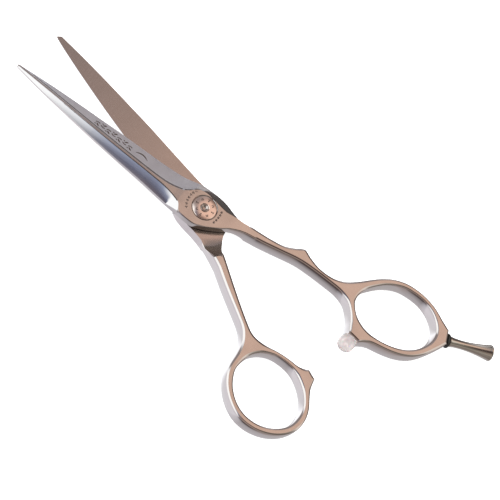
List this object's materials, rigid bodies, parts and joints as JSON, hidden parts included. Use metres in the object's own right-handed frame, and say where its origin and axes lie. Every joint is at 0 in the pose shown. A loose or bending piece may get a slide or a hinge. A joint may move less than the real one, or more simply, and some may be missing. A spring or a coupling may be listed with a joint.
{
  "type": "hair cutting shears",
  "caption": "Offset-handle hair cutting shears with a click tension dial, rubber bumper and a screw-in finger tang.",
  "frame": {"origin": "on the pivot axis, at the plane the shears lie on", "axes": "+X runs from the pivot to the handles, the blade tips are at -X; +Z is the pivot axis, from the resting face to the dial; +Y is towards the finger ring"},
  "size_m": [0.1698, 0.0731, 0.0055],
  "materials": {
    "polished_steel": "mirror polished stainless steel, satin behind the cutting edge",
    "turned_steel": "turned and polished stainless steel",
    "spring_steel": "bright rolled spring steel",
    "bronze": "reamed bronze bush",
    "glide_plastic": "smooth low friction plastic",
    "clear_rubber": "cloudy clear silicone rubber",
    "black_rubber": "moulded black rubber"
  },
  "bodies": {
    "finger": {"finger_half": "polished_steel", "pivot_bush": "bronze", "bumper": "clear_rubber", "bumper_stud": "clear_rubber"},
    "thumb": {"thumb_half": "polished_steel", "pivot_bolt": "turned_steel", "glide_washer": "glide_plastic", "wave_washer": "spring_steel", "click_plate": "spring_steel", "lock_screw": "turned_steel"},
    "dial": {"tension_dial": "polished_steel"},
    "tang_carrier": {"tang_o_ring": "black_rubber"},
    "tang_screw": {"tang": "turned_steel", "tang_stud": "turned_steel"}
  },
  "joints": [
    {"name": "shear_pivot", "type": "hinge", "parent": "finger", "child": "thumb", "pos_m": [0, 0, 0.0027], "axis": [0, 0, -1], "range_deg": [-13.8, 75.7]},
    {"name": "dial_turn", "type": "hinge", "parent": "thumb", "child": "dial", "pos_m": [0, 0, 0.005], "axis": [0, 0, 1], "range_deg": [-90, 90]},
    {"name": "tang_out", "type": "slide", "parent": "finger", "child": "tang_carrier", "axis": [0.9135, 0.4067, 0], "range_m": [0, 0.0045]},
    {"name": "tang_unscrew", "type": "hinge", "parent": "tang_carrier", "child": "tang_screw", "pos_m": [0.08455, 0.01715, 0.0027], "axis": [0.9135, 0.4067, 0], "range_deg": [0, 3240]}
  ],
  "couplings": [
    {"joint": "tang_unscrew", "follows": "tang_out", "rad_per_m": 12566}
  ]
}
